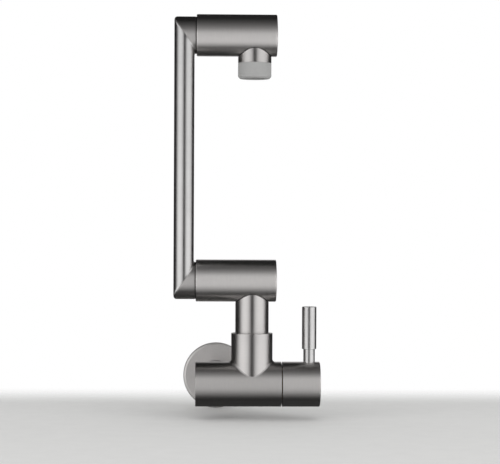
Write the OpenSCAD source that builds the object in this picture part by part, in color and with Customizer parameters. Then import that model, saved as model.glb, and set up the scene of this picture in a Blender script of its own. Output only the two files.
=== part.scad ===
// Wall-mounted folding kitchen faucet.
// A quarter-turn valve body stands out from the wall and a neck swivels in its collar.
// A flat oval arm folds between two joint drums, and the upper drum carries the outlet.
// Frame: +X to the right, +Y into the wall, +Z up, origin on the inlet axis at the wall.

/* [Inlet and wall plate] */
// Outside diameter of the inlet's pipe thread, G 1/2 or G 3/4
inlet_thread_d = 20.955; // [20.955, 26.441]
// Length of the inlet thread behind the wall's face
inlet_thread_len = 18; // [14:1:24]
// Diameter of the water way in the inlet
inlet_bore_d = 13; // [11:0.5:14]
// Diameter of the inlet's round shank and of the boss that takes it
shank_d = 28; // [27.5:0.5:31]
// Diameter of the wall plate
plate_d = 60; // [54:1:70]
// How far the wall plate stands off the wall
plate_depth = 5; // [4.5:0.5:8]
// Sheet thickness of the wall plate
plate_sheet = 1.2; // [0.8:0.1:1.5]
// Radius of the wall plate's rounded edge
plate_round = 2; // [1.6:0.1:3]

/* [Valve body] */
// Distance from the wall to the body's axis
body_reach = 90; // [84:1:110]
// Diameter of the body
body_d = 39; // [38:0.5:42]
// Length of the body to the left of the inlet axis
body_left = 18.5; // [17:0.5:26]
// Length of the body to the right of the inlet axis
body_right = 56; // [55:0.5:60]
// Diameter of the collar that holds the neck
collar_d = 36; // [35:0.5:37]
// Height of the collar's rim over the body's axis
collar_top = 44.5; // [42:0.5:48]
// Chamfer on the ends of turned pieces
edge = 0.6; // [0.3:0.1:0.8]
// How far the closed ends of the handle drum and the caps are domed
crown = 0.8; // [0.4:0.1:1]

/* [Handle] */
// Length of the turning handle drum
handle_len = 33.5; // [32:0.5:40]
// Gap between the body and the handle drum
handle_gap = 0.9; // [0.4:0.1:1.2]
// Distance from the handle drum's right end to the lever's axis
lever_inset = 10; // [9:0.5:12]
// Diameter of the lever's grip
grip_d = 12.5; // [11.5:0.5:14]
// Diameter of the lever's stem
stem_d = 10; // [9:0.5:11]
// Height of the grip's lower edge over the body's axis
grip_bottom = 30.7; // [26:0.1:34]
// Height of the grip's upper end over the body's axis
grip_top = 67.5; // [56:0.5:68]

/* [Swivel neck] */
// Distance from the inlet axis to the neck's axis
neck_x = 30.5; // [30:0.5:32]
// Diameter of the neck
neck_d = 29; // [28:0.5:29.5]
// Height of the lower joint's axis over the body's axis
lower_z = 90; // [90:1:110]

/* [Joint drums] */
// Diameter of both joint drums
drum_d = 36.5; // [36:0.5:40]
// Length of a drum to the left of the neck's axis
drum_back = 49; // [47:0.5:54]
// Length of a drum to the right of the neck's axis, with its end cap
drum_front = 21.5; // [21:0.5:26]
// Thickness of the end cap's disc
cap_t = 3.5; // [2.5:0.5:4.5]
// Gap between an elbow and its drum
seam_gap = 0.8; // [0.6:0.1:1]
// Diameter of the hollow shaft that turns in a drum
shaft_d = 24; // [23.5:0.5:24.5]

/* [Folding arm] */
// Distance between the two joint axes
arm_span = 213; // [150:1:260]
// Width of the flat oval arm
arm_w = 17.5; // [15:0.5:20]
// Diameter of the round elbows, which the flat oval arm is as deep as
elbow_d = 32.4; // [31.2:0.1:33]
// Wall thickness of the arm and its elbows
arm_wall = 1.5; // [1:0.1:2]
// Straight length of an elbow between the arm and the seam
elbow_len = 1; // [0.8:0.1:3]

/* [Outlet] */
// Distance from the upper drum's left end to the outlet's axis
outlet_at = 50.5; // [48:0.5:52]
// Diameter of the outlet neck and its aerator
outlet_d = 29; // [28.5:0.5:29.5]
// Length of the outlet neck under the drum
outlet_neck_len = 5.7; // [5.7:0.1:12]
// Height of the aerator's visible ring
aerator_h = 13.5; // [12:0.1:15]
// Chamfer at the aerator's mouth
mouth_edge = 1.6; // [0.6:0.1:2]
// Width of a cell in the honeycomb screen
cell_across = 2.2; // [1.4:0.1:2.3]
// Rings of cells round the middle one
cell_rings = 3; // [1:1:3]

/* [Fits and seals] */
// Radial clearance of the fits that turn
running = 0.05; // [0.03:0.01:0.08]
// Thickness of a squeezed O-ring
oring_s = 1.6; // [1.5:0.1:1.7]
// Diameter of the water way through the neck and the joints
water_d = 13; // [11:0.5:14]

/* [Hidden] */
$fn = 96;

steel = [0.47, 0.45, 0.43];
brass = [0.72, 0.58, 0.32];
ceramic = [0.9, 0.9, 0.88];
rubber = [0.08, 0.08, 0.08];
pom = [0.12, 0.12, 0.13];
pale = [0.62, 0.62, 0.62];

// How far a cutter runs past the face that it opens
past = 1;
// Clearance of parts that are pushed together and don't turn
snug = 0.02;

// Inlet
socket_depth = 12.5;
washer_t = 1.5;
socket_d = 20;
boss_out = 19;
boss_len = body_d/2 + boss_out;
thread_relief = 1.6;
thread_start = 1;
thread_lead = 1;
plate_clear = 0.2;

// Headwork, measured from the body's right end
seat_depth = 34;
seat_x = body_right - seat_depth;
seat_bore_d = 11;
headwork_bore_d = 21;
nose_d = 17;
nose_bore_d = 14;
nose_len = 21;
nose_start = 0.5;
disc_t = 3;
disc_play = 0.15;
seal_t = 2.5;
seal_bore_d = 9;
window_w = 9;
window_len = 6;
window_lap = 0.5;
left_wall = 6.5;
flange_d = 27;
flange_t = 2;
hex_across = 22;
hex_t = 5;
gland_d = 14;
gland_t = 3;
chamber_len = 16;
journal_d = 10;
journal_land = 1;
spindle_d = 8;
spindle_end = 26;
driver_w = 5;
driver_l = 11;
tongue_w = 3;
tongue_l = 9;
tongue_t = 1.8;
tongue_play = 0.1;
head_t = 2.4;
head_d = 13;
slip_t = 0.5;
slip_play = 0.1;
clip_t = 1;
spindle_clip_d = 12;
spindle_clip_depth = 0.8;
disc_key_w = 3;
disc_key_gap = 0.2;
port_inner = 2.4;
port_outer = 6;
port_angle = 76;
cartridge_groove_t = oring_s + 0.1;
cartridge_oring_d = headwork_bore_d + 2*oring_s + 0.1;
cartridge_groove_d = cartridge_oring_d + 0.2;
gland_x = body_right + flange_t + hex_t + gland_t;
journal_end = gland_x + slip_t + clip_t + journal_land;
spindle_oring_x = [6, 12];

// Handle
handle_x = body_right + handle_gap;
handle_bore_d = 30;
handle_end_t = 4.5;
hub_d = 16;
hub_gap = 0.3;
hub_x = journal_end + hub_gap - handle_x;
hub_len = handle_len - handle_end_t - hub_x;
lever_x = handle_x + handle_len - lever_inset;
stud_d = 6;
stud_lead = 1;
flat_depth = 0.8;
flat_z = spindle_d/2 - flat_depth;
stem_sunk = 1;
stem_seat = body_d/2 - stem_sunk;

// Swivel fit in the collar
spigot_d = 24;
collar_bore_d = spigot_d + 2*running;
spigot_sunk = 2;
spigot_bottom = body_d/2 - spigot_sunk;
spigot_gap = 0.5;
collar_floor = spigot_bottom - spigot_gap;
collar_water_wider = 1;
collar_water_d = water_d + collar_water_wider;
rim_depth = 5;
rim_floor = collar_top - rim_depth;
neck_washer_t = 1;
neck_washer_play = 0.1;
neck_shoulder = rim_floor + neck_washer_t;
rim_clear = 0.3;
oring_slack = 0.8;
oring_groove_t = oring_s + oring_slack;
screw_up = 10.3;
screw_z = collar_floor + screw_up;
neck_oring_z = [(collar_floor + screw_z)/2, (screw_z + rim_floor)/2];
screw_d = 5;
screw_dog_d = 4;
screw_groove_depth = 2.4;
screw_slack = 0.1;
screw_tip_gap = 0.2;
screw_shank_gap = 0.4;
screw_sunk = 0.5;
screw_socket = 2.5;

// Joint fits, measured along a drum from its left end
drum_len = drum_back + drum_front;
shell_len = drum_len - cap_t;
bush_d = 30;
bush_len = 9;
seam_sunk = 0.2;
bush_flange_d = elbow_d - 2*seam_sunk;
port_land = 9;
shaft_step = 2;
shaft_step_x = drum_back - port_land;
shaft_end_d = shaft_d - 2*shaft_step;
rear_x = drum_back + port_land;
rear_bush_len = 4;
shaft_clip_gap = 0.3;
shaft_clip_x = rear_x + rear_bush_len + shaft_clip_gap;
shaft_clip_t = 1.2;
shaft_clip_d = 24;
shaft_clip_depth = 0.8;
shaft_tail = 1.1;
shaft_len = shaft_clip_x + shaft_clip_t + shaft_tail;
plug_gap = 0.5;
plug_x = rear_x + rear_bush_len + plug_gap;
plug_bore_d = 25.5;
plug_groove_t = oring_s + 0.4;
plug_oring_x = (plug_x + shell_len)/2;
shaft_port_d = 9;
shaft_ports = 4;
elbow_web = 3;
shaft_oring_x = [18, 27];

// Arm, measured from a drum's left end
weld_step = 0.2;
arm_depth = elbow_d - 2*weld_step;
arm_x = -(seam_gap + elbow_len + arm_w/2);
drum_x = neck_x - drum_back;
upper_z = lower_z + arm_span;

// Outlet, measured down from the upper joint's axis
outlet_x = drum_x + outlet_at;
outlet_drop = drum_d/2 + outlet_neck_len;
thread_len = 5;
thread_d = 25.6;
aerator_bore_d = 21;
aerator_washer_t = 1.2;
aerator_washer_w = 5.3;
insert_flange_t = 1.1;
insert_play = 0.3;
insert_wall = 1.5;
lip_d = 19;
lip_t = 1.6;
screen_t = 1;
cell_web = 0.4;
cell_pitch = cell_across + cell_web;
cells = [for (i = [-cell_rings:cell_rings], j = [-cell_rings:cell_rings])
    if (abs(i + j) <= cell_rings) cell_pitch*[i*cos(30), i*sin(30) + j]];
aerator_top = outlet_drop - thread_len + aerator_washer_t + insert_flange_t;
aerator_end = outlet_drop + aerator_h;
insert_h = aerator_end - aerator_top - lip_t - screen_t + insert_flange_t;

// Places
module level(x, z) translate([x, -body_reach, z]) rotate([0, 90, 0]) children();
module upright(x, z) translate([x, -body_reach, z]) children();
module to_wall(x, y, z) translate([x, y, z]) rotate([-90, 0, 0]) children();
module lower_joint() translate([drum_x, -body_reach, lower_z]) children();
module upper_joint() translate([drum_x, -body_reach, upper_z]) children();
module along(x) translate([x, 0, 0]) rotate([0, 90, 0]) children();

// Points on an arc, from angle a0 to a1
function arc(c, r, a0, a1, n = 8) =
    [for (i = [0:n]) c + r*[cos(a0 + (a1 - a0)*i/n), sin(a0 + (a1 - a0)*i/n)]];

// A turned bar with a chamfer at each end
module bar(d, l, c0 = 0, c1 = 0)
    rotate_extrude()
        polygon([[0, 0], [d/2 - c0, 0], [d/2, c0], [d/2, l - c1], [d/2 - c1, l], [0, l]]);

// The same bar with a slightly domed end
module domed_bar(d, l, c0, c1) {
    rim_r = d/2 - c1;
    dome_r = (rim_r*rim_r + crown*crown)/(2*crown);
    rotate_extrude()
        polygon(concat(
            [[0, 0], [d/2 - c0, 0], [d/2, c0], [d/2, l - crown - c1]],
            arc([0, l - dome_r], dome_r, acos(rim_r/dome_r), 90)));
}

module ring(d, hole, l)
    difference() {
        cylinder(d = d, h = l);
        translate([0, 0, -past]) cylinder(d = hole, h = l + 2*past);
    }

// The cutter for a round groove, centred on its own width
module groove(d, depth, w)
    translate([0, 0, -w/2]) ring(d + 2*past, d - 2*depth, w);

// A squeezed O-ring whose outside diameter is d
module oring(d)
    rotate_extrude() translate([d/2 - oring_s/2, 0]) circle(d = oring_s, $fn = 32);

// A spring clip with a gap
module clip(d, hole, l)
    rotate_extrude(angle = 320) translate([hole/2, 0]) square([(d - hole)/2, l]);

// Two opposite sector ports through a disc
module sector_ports(l)
    for (a = [0, 180])
        rotate([0, 0, a - port_angle/2])
            rotate_extrude(angle = port_angle)
                translate([port_inner, 0]) square([port_outer - port_inner, l]);

// Tee body with its collar, its rear boss and the bores that it is drilled with
module valve_body()
    color(steel)
    difference() {
        union() {
            level(-body_left, 0) bar(body_d, body_left + body_right, edge, edge);
            upright(neck_x, 0) bar(collar_d, collar_top, 0, edge/2);
            to_wall(0, -body_reach, 0) cylinder(d = shank_d, h = boss_len);
        }
        level(seat_x, 0) cylinder(d = headwork_bore_d, h = seat_depth + past);
        level(body_right - cartridge_groove_t, 0)
            cylinder(d = cartridge_groove_d, h = cartridge_groove_t + past);
        level(left_wall - body_left, 0)
            cylinder(d = seat_bore_d, h = body_left - left_wall + seat_x + past);
        to_wall(0, -body_reach, 0) cylinder(d = inlet_bore_d, h = boss_len + past);
        to_wall(0, boss_len - socket_depth - body_reach, 0)
            cylinder(d = socket_d, h = socket_depth + past);
        upright(neck_x, 0) cylinder(d = collar_water_d, h = collar_floor + past);
        upright(neck_x, collar_floor) cylinder(d = collar_bore_d, h = collar_top);
        upright(neck_x, rim_floor) cylinder(d = neck_d + 2*rim_clear, h = rim_depth + past);
        to_wall(neck_x, -body_reach, screw_z) cylinder(d = screw_d, h = collar_d/2 + past);
    }

// Threaded nipple that joins the boss to the pipe in the wall
module inlet_nipple()
    color(steel)
    difference() {
        union() {
            to_wall(0, boss_len - body_reach, 0)
                bar(shank_d, body_reach - boss_len - plate_depth, 0, edge/2);
            to_wall(0, boss_len - socket_depth + washer_t - body_reach, 0)
                cylinder(d = socket_d - 2*snug, h = socket_depth);
            to_wall(0, -plate_depth - past, 0)
                cylinder(d = inlet_thread_d - thread_relief, h = plate_depth + past);
            to_wall(0, -thread_start, 0)
                bar(inlet_thread_d, thread_start + inlet_thread_len, 0, thread_lead);
        }
        to_wall(0, -body_reach, 0) cylinder(d = inlet_bore_d, h = body_reach + 2*inlet_thread_len);
    }

module inlet_washer()
    color(rubber)
    to_wall(0, boss_len - socket_depth - body_reach, 0)
        ring(socket_d - 2*snug, inlet_bore_d, washer_t);

// Shallow round plate that covers the hole in the wall
module wall_plate() {
    r = plate_d/2;
    inner_round = plate_round - plate_sheet;
    hole = inlet_thread_d/2 + plate_clear;
    color(steel)
    to_wall(0, 0, 0)
    rotate_extrude()
        polygon(concat(
            [[hole, plate_sheet - plate_depth], [hole, -plate_depth]],
            arc([r - plate_round, plate_round - plate_depth], plate_round, -90, 0),
            [[r, 0], [r - plate_sheet, 0]],
            arc([r - plate_sheet - inner_round, plate_sheet + inner_round - plate_depth],
                inner_round, 0, -90, 4)));
}

// Brass quarter-turn headwork: nose with side windows, screwed shank, flange, hexagon and gland
module cartridge_body()
    color(brass)
    difference() {
        union() {
            level(seat_x + nose_start, 0) cylinder(d = nose_d, h = nose_len);
            level(seat_x + nose_len, 0)
                cylinder(d = headwork_bore_d - 2*snug, h = seat_depth - nose_len);
            level(body_right, 0) cylinder(d = flange_d, h = flange_t);
            level(body_right, 0)
                cylinder(d = hex_across/cos(30), h = flange_t + hex_t, $fn = 6);
            level(body_right, 0) bar(gland_d, flange_t + hex_t + gland_t, 0, edge/2);
        }
        level(seat_x, 0) cylinder(d = nose_bore_d, h = chamber_len);
        level(seat_x, 0)
            cylinder(d = journal_d + 2*running, h = seat_depth + flange_t + hex_t + gland_t + past);
        // Windows that let the water out to the neck
        level(seat_x + nose_start + seal_t + 2*disc_t - window_lap, 0)
            translate([-nose_d, -window_w/2, 0]) cube([2*nose_d, window_w, window_len]);
        // Notches that hold the fixed disc's keys
        level(seat_x, 0)
            translate([-disc_key_w/2 - snug, -nose_d, -past])
                cube([disc_key_w + 2*snug, 2*nose_d, seal_t + disc_t + past]);
    }

module cartridge_oring()
    color(rubber)
    level(body_right - cartridge_groove_t/2, 0) oring(cartridge_oring_d);

module seat_seal()
    color(rubber)
    level(seat_x, 0) ring(nose_bore_d - 2*snug, seal_bore_d, seal_t);

// Ceramic disc that stands still, keyed into the nose
module fixed_disc()
    color(ceramic)
    level(seat_x + seal_t, 0)
    difference() {
        union() {
            cylinder(d = nose_bore_d - 2*snug, h = disc_t);
            translate([-disc_key_w/2, -nose_d/2 + disc_key_gap, 0])
                cube([disc_key_w, nose_d - 2*disc_key_gap, disc_t]);
        }
        translate([0, 0, -past]) sector_ports(disc_t + 2*past);
    }

module spindle_clip()
    color(steel)
    level(gland_x + slip_t, 0)
        clip(spindle_clip_d, journal_d - 2*spindle_clip_depth + 2*snug, clip_t);

module neck_washer()
    color(pom)
    upright(neck_x, rim_floor)
        ring(neck_d + 2*rim_clear - 2*neck_washer_play, spigot_d + 4*neck_washer_play,
            neck_washer_t);

// Screw behind the collar whose dog runs in the neck's groove
module neck_screw() {
    tip = spigot_d/2 - screw_groove_depth + screw_tip_gap;
    shank = spigot_d/2 + screw_shank_gap;
    head = collar_d/2 - screw_sunk;
    color(steel)
    difference() {
        union() {
            to_wall(neck_x, -body_reach + tip, screw_z) cylinder(d = screw_dog_d, h = head - tip);
            to_wall(neck_x, -body_reach + shank, screw_z)
                cylinder(d = screw_d - 2*snug, h = head - shank);
        }
        to_wall(neck_x, -body_reach + head - screw_socket, screw_z)
            cylinder(d = screw_socket/cos(30), h = screw_socket + past, $fn = 6);
    }
}

// Hollow drum that turns with the spindle, with a hub inside its closed end
module handle_drum()
    color(steel)
    difference() {
        level(handle_x, 0) domed_bar(body_d, handle_len, edge, edge);
        level(handle_x, 0)
        difference() {
            translate([0, 0, -past]) cylinder(d = handle_bore_d, h = hub_x + hub_len + past);
            translate([0, 0, hub_x]) cylinder(d = hub_d, h = hub_len + past);
        }
        level(handle_x + hub_x - past, 0) cylinder(d = spindle_d + 2*snug, h = hub_len + past);
        upright(lever_x, 0) cylinder(d = stud_d, h = body_d);
        upright(lever_x, stem_seat) cylinder(d = stem_d + 2*snug, h = body_d);
    }

// Lever: a stud through the drum to the spindle, a stem and a thicker grip
module lever()
    color(steel)
    upright(lever_x, 0)
    rotate_extrude()
        polygon([[0, flat_z], [stud_d/2 - stud_lead, flat_z], [stud_d/2 - snug, flat_z + stud_lead],
            [stud_d/2 - snug, stem_seat], [stem_d/2, stem_seat], [stem_d/2, grip_bottom],
            [grip_d/2 - edge, grip_bottom], [grip_d/2, grip_bottom + edge],
            [grip_d/2, grip_top - edge], [grip_d/2 - edge, grip_top], [0, grip_top]]);

// Spindle: tongue and driver, head, journal and the end that the handle sits on
module spindle() {
    driver_x = seat_x + seal_t + 2*disc_t;
    head_x = seat_x + chamber_len - slip_t - head_t;
    color(brass)
    difference() {
        union() {
            level(driver_x - tongue_t, 0)
                translate([-tongue_l/2, -tongue_w/2, 0]) cube([tongue_l, tongue_w, tongue_t + past]);
            level(driver_x, 0)
                translate([-driver_l/2, -driver_w/2, 0])
                    cube([driver_l, driver_w, head_x - driver_x + past]);
            level(head_x, 0) cylinder(d = head_d, h = head_t);
            level(head_x, 0) cylinder(d = journal_d, h = journal_end - head_x);
            level(gland_x, 0) bar(spindle_d, body_right + spindle_end - gland_x, 0, edge);
        }
        for (x = spindle_oring_x)
            level(seat_x + chamber_len + x, 0) groove(journal_d, oring_s, oring_groove_t);
        level(gland_x + slip_t + clip_t/2, 0)
            groove(journal_d, spindle_clip_depth, clip_t + 2*snug);
        translate([lever_x - stud_d/2 - stud_lead, -body_reach - spindle_d, flat_z])
            cube([spindle_end, 2*spindle_d, spindle_d]);
    }
}

module spindle_orings()
    color(rubber)
    for (x = spindle_oring_x)
        level(seat_x + chamber_len + x, 0) oring(journal_d + 2*running - 2*snug);

module slip_washer()
    color(pale)
    level(seat_x + chamber_len - slip_t, 0) ring(head_d, journal_d + 2*slip_play, slip_t);

// Ceramic disc that turns with the spindle and opens the ports of the fixed one
module moving_disc()
    color(ceramic)
    level(seat_x + seal_t + disc_t, 0)
    difference() {
        cylinder(d = nose_bore_d - 2*disc_play, h = disc_t);
        translate([0, 0, -past]) rotate([0, 0, 90]) sector_ports(disc_t + 2*past);
        translate([-tongue_l/2 - snug, -tongue_w/2 - snug, disc_t - tongue_t - tongue_play])
            cube([tongue_l + 2*snug, tongue_w + 2*snug, disc_t]);
    }

// Neck: a spigot in the collar, and a tube that is coped to the lower drum
module swivel_neck()
    color(steel)
    difference() {
        union() {
            upright(neck_x, neck_shoulder) cylinder(d = neck_d, h = lower_z - neck_shoulder);
            upright(neck_x, spigot_bottom) bar(spigot_d, neck_shoulder - spigot_bottom + past, edge, 0);
        }
        level(neck_x - drum_back, lower_z) cylinder(d = drum_d, h = drum_len);
        upright(neck_x, spigot_bottom - past) cylinder(d = water_d, h = lower_z);
        upright(neck_x, screw_z)
            groove(spigot_d, screw_groove_depth, screw_dog_d + 2*screw_slack);
        for (z = neck_oring_z)
            upright(neck_x, z) groove(spigot_d, oring_s, oring_groove_t);
    }

module neck_orings()
    color(rubber)
    for (z = neck_oring_z)
        upright(neck_x, z) oring(collar_bore_d - 2*snug);

// Drum shell, bored through for the shaft, its bushes and its cap
module drum(branch)
    difference() {
        along(0) bar(drum_d, shell_len, edge, edge/3);
        along(-past) cylinder(d = bush_d, h = bush_len + past);
        along(0) cylinder(d = shaft_d + 2*running, h = drum_len);
        along(rear_x) cylinder(d = bush_d, h = drum_len);
        translate([branch, 0, -drum_d]) cylinder(d = water_d, h = drum_d);
    }

// Plastic bush at the elbow's side, with the thin flange that fills the seam
module front_bush()
    color(pom)
    difference() {
        union() {
            along(-seam_gap) cylinder(d = bush_flange_d, h = seam_gap);
            along(-seam_gap) cylinder(d = bush_d - 2*snug, h = seam_gap + bush_len);
        }
        along(-seam_gap - past) cylinder(d = shaft_d + 2*running, h = seam_gap + bush_len + 2*past);
    }

module rear_bush()
    color(pom)
    along(rear_x) ring(bush_d - 2*snug, shaft_end_d + 2*running, rear_bush_len);

// End cap with the hollow plug that closes the drum
module cap()
    color(steel)
    difference() {
        union() {
            along(shell_len) domed_bar(drum_d, cap_t, edge/3, edge);
            along(plug_x) cylinder(d = bush_d - 2*snug, h = shell_len - plug_x + past);
        }
        along(plug_x - past) cylinder(d = plug_bore_d, h = shell_len - plug_x + past);
        along(plug_oring_x) groove(bush_d - 2*snug, oring_s + snug, plug_groove_t);
    }

module cap_oring()
    color(rubber)
    along(plug_oring_x) oring(bush_d - 2*snug);

// A block under the mitre plane
module mitre_side()
    translate([arm_x, elbow_d, 0])
    rotate([90, 0, 0])
    linear_extrude(2*elbow_d)
        polygon([[-arm_w, -elbow_d], [arm_w, elbow_d], [arm_w, -3*elbow_d], [-arm_w, -3*elbow_d]]);

// Round bar of the elbow, cut on the mitre
module elbow_bar()
    intersection() {
        along(arm_x - arm_w) cylinder(d = elbow_d, h = arm_w - arm_x - seam_gap);
        mitre_side();
    }

// Round elbow with the hollow shaft that turns in the drum
module elbow()
    color(steel)
    difference() {
        union() {
            elbow_bar();
            along(-seam_gap - past) cylinder(d = shaft_d, h = shaft_step_x + seam_gap + past);
            along(0) bar(shaft_end_d, shaft_len, 0, edge);
        }
        along(arm_x - 2*arm_w)
            cylinder(d = elbow_d - 2*arm_wall, h = -arm_x + 2*arm_w - seam_gap - elbow_web);
        along(arm_x) cylinder(d = water_d, h = drum_len);
        for (i = [0:shaft_ports - 1])
            translate([drum_back, 0, 0])
                rotate([360*i/shaft_ports, 0, 0]) cylinder(d = shaft_port_d, h = shaft_d);
        for (x = shaft_oring_x)
            along(x) groove(shaft_d, oring_s, oring_groove_t);
        along(shaft_clip_x + shaft_clip_t/2)
            groove(shaft_end_d, shaft_clip_depth, shaft_clip_t + 2*snug);
    }

module shaft_orings()
    color(rubber)
    for (x = shaft_oring_x)
        along(x) oring(shaft_d + 2*running - 2*snug);

module shaft_clip()
    color(steel)
    along(shaft_clip_x)
        clip(shaft_clip_d, shaft_end_d - 2*shaft_clip_depth + 2*snug, shaft_clip_t);

// Flat oval bar from under the lower joint to over the upper one
module oval_bar(w, depth)
    translate([drum_x + arm_x, -body_reach, lower_z - elbow_d])
    linear_extrude(arm_span + 2*elbow_d)
        union() {
            square([w, depth - w], center = true);
            for (s = [-1, 1])
                translate([0, s*(depth - w)/2]) circle(d = w);
        }

// The space under a joint's axis that is outside a round bar on that axis
module under_bar(d)
    difference() {
        translate([arm_x - arm_w, -elbow_d, -2*elbow_d]) cube([2*arm_w, 2*elbow_d, 2*elbow_d]);
        along(arm_x - 2*arm_w) cylinder(d = d, h = 4*arm_w);
    }

// Flat oval tube, cut on the same mitres as its elbows and flush with them at the corners
module arm_tube()
    color(steel)
    difference() {
        oval_bar(arm_w, arm_depth);
        lower_joint() elbow_bar();
        lower_joint() under_bar(elbow_d);
        upper_joint() mirror([0, 0, 1]) elbow_bar();
        upper_joint() mirror([0, 0, 1]) under_bar(elbow_d);
        difference() {
            oval_bar(arm_w - 2*arm_wall, arm_depth - 2*arm_wall);
            lower_joint() under_bar(elbow_d - 2*arm_wall);
            upper_joint() mirror([0, 0, 1]) under_bar(elbow_d - 2*arm_wall);
        }
    }

// Short neck under the upper drum, threaded inside for the aerator
module outlet_neck()
    color(steel)
    difference() {
        upright(outlet_x, upper_z - outlet_drop) bar(outlet_d, outlet_drop, edge/3, 0);
        level(drum_x, upper_z) cylinder(d = drum_d, h = drum_len);
        upright(outlet_x, upper_z - outlet_drop - past) cylinder(d = water_d, h = outlet_drop);
        upright(outlet_x, upper_z - outlet_drop - past) cylinder(d = thread_d, h = thread_len + past);
    }

// Knurled ring of the aerator, with the threaded shank and the lip that holds the insert
module aerator_ring()
    color(pale)
    upright(outlet_x, upper_z - aerator_end)
    difference() {
        union() {
            bar(outlet_d, aerator_h, mouth_edge, edge/3);
            cylinder(d = thread_d - 2*snug, h = aerator_end - aerator_top);
        }
        translate([0, 0, -past]) cylinder(d = lip_d, h = aerator_h);
        translate([0, 0, lip_t]) cylinder(d = aerator_bore_d, h = outlet_drop);
    }

module aerator_washer()
    color(rubber)
    upright(outlet_x, upper_z - outlet_drop + thread_len - aerator_washer_t)
        ring(thread_d - 2*snug, thread_d - 2*aerator_washer_w, aerator_washer_t);

// Plastic cup whose flange is clamped under the washer
module aerator_insert()
    color(pale)
    difference() {
        union() {
            upright(outlet_x, upper_z - aerator_top)
                cylinder(d = thread_d - 2*insert_play, h = insert_flange_t);
            upright(outlet_x, upper_z - aerator_end + lip_t + screen_t)
                cylinder(d = aerator_bore_d - 2*snug, h = insert_h);
        }
        upright(outlet_x, upper_z - aerator_end)
            cylinder(d = aerator_bore_d - 2*insert_wall, h = aerator_end);
    }

// Honeycomb disc at the aerator's mouth
module aerator_screen()
    color(pom)
    upright(outlet_x, upper_z - aerator_end + lip_t)
    difference() {
        cylinder(d = aerator_bore_d - 2*snug, h = screen_t);
        for (c = cells)
            translate([c[0], c[1], -past])
                cylinder(d = cell_across/cos(30), h = screen_t + 2*past, $fn = 6);
    }

valve_body();
inlet_nipple();
inlet_washer();
wall_plate();
cartridge_body();
cartridge_oring();
seat_seal();
fixed_disc();
spindle_clip();
neck_washer();
neck_screw();
handle_drum();
lever();
spindle();
spindle_orings();
slip_washer();
moving_disc();
swivel_neck();
neck_orings();
lower_joint() color(steel) drum(drum_back);  // lower_drum
lower_joint() front_bush();  // lower_front_bush
lower_joint() rear_bush();  // lower_rear_bush
lower_joint() cap();  // lower_cap
lower_joint() cap_oring();  // lower_cap_oring
arm_tube();
lower_joint() elbow();  // lower_elbow
lower_joint() shaft_orings();  // lower_shaft_orings
lower_joint() shaft_clip();  // lower_clip
upper_joint() mirror([0, 0, 1]) elbow();  // upper_elbow
upper_joint() shaft_orings();  // upper_shaft_orings
upper_joint() shaft_clip();  // upper_clip
upper_joint() color(steel) drum(outlet_at);  // upper_drum
upper_joint() front_bush();  // upper_front_bush
upper_joint() rear_bush();  // upper_rear_bush
upper_joint() cap();  // upper_cap
upper_joint() cap_oring();  // upper_cap_oring
outlet_neck();
aerator_ring();
aerator_washer();
aerator_insert();
aerator_screen();
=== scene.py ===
"""Looks of the wall-mounted folding faucet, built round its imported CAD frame."""

from math import atan2, cos, pi, radians, sin, sqrt, tan

import bpy
import numpy as np
from bpy.props import FloatProperty, FloatVectorProperty, IntProperty, PointerProperty
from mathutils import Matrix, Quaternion, Vector
from mathutils.kdtree import KDTree


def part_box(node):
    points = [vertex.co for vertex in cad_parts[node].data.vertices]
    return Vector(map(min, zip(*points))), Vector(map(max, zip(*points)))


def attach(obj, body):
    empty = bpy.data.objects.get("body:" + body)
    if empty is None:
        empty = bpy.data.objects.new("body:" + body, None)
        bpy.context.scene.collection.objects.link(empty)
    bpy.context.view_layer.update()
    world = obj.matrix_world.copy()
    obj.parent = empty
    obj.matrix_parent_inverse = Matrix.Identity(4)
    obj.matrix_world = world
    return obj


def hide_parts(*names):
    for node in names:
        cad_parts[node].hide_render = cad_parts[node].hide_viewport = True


bl_info = {
    "name": "Folding wall faucet",
    "version": (1, 1, 0),
    "blender": (4, 5, 0),
    "location": "3D View > Sidebar > Faucet",
    "description": "Dresses the packed frame of a wall-mounted folding kitchen faucet",
    "category": "Object",
}

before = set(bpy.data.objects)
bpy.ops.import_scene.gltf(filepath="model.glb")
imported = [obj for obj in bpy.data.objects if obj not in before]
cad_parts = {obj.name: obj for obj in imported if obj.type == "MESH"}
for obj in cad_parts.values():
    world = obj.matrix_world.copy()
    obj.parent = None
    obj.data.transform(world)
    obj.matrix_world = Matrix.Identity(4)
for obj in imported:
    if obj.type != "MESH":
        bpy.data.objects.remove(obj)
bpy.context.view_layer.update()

MM = 0.001
TURNS = 192  # segments round a turned piece
PARTS = 20  # the frame's boxes are read to this part of a millimetre


def span(node, axis):
    """Lowest and highest place of a CAD node along X, Y or Z, in millimetres."""
    low, high = (corner["xyz".index(axis)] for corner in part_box(node))
    return round(low / MM * PARTS) / PARTS, round(high / MM * PARTS) / PARTS


def middle(node, axis):
    low, high = span(node, axis)
    return (low + high) / 2


def half(node, axis):
    low, high = span(node, axis)
    return (high - low) / 2


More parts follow.
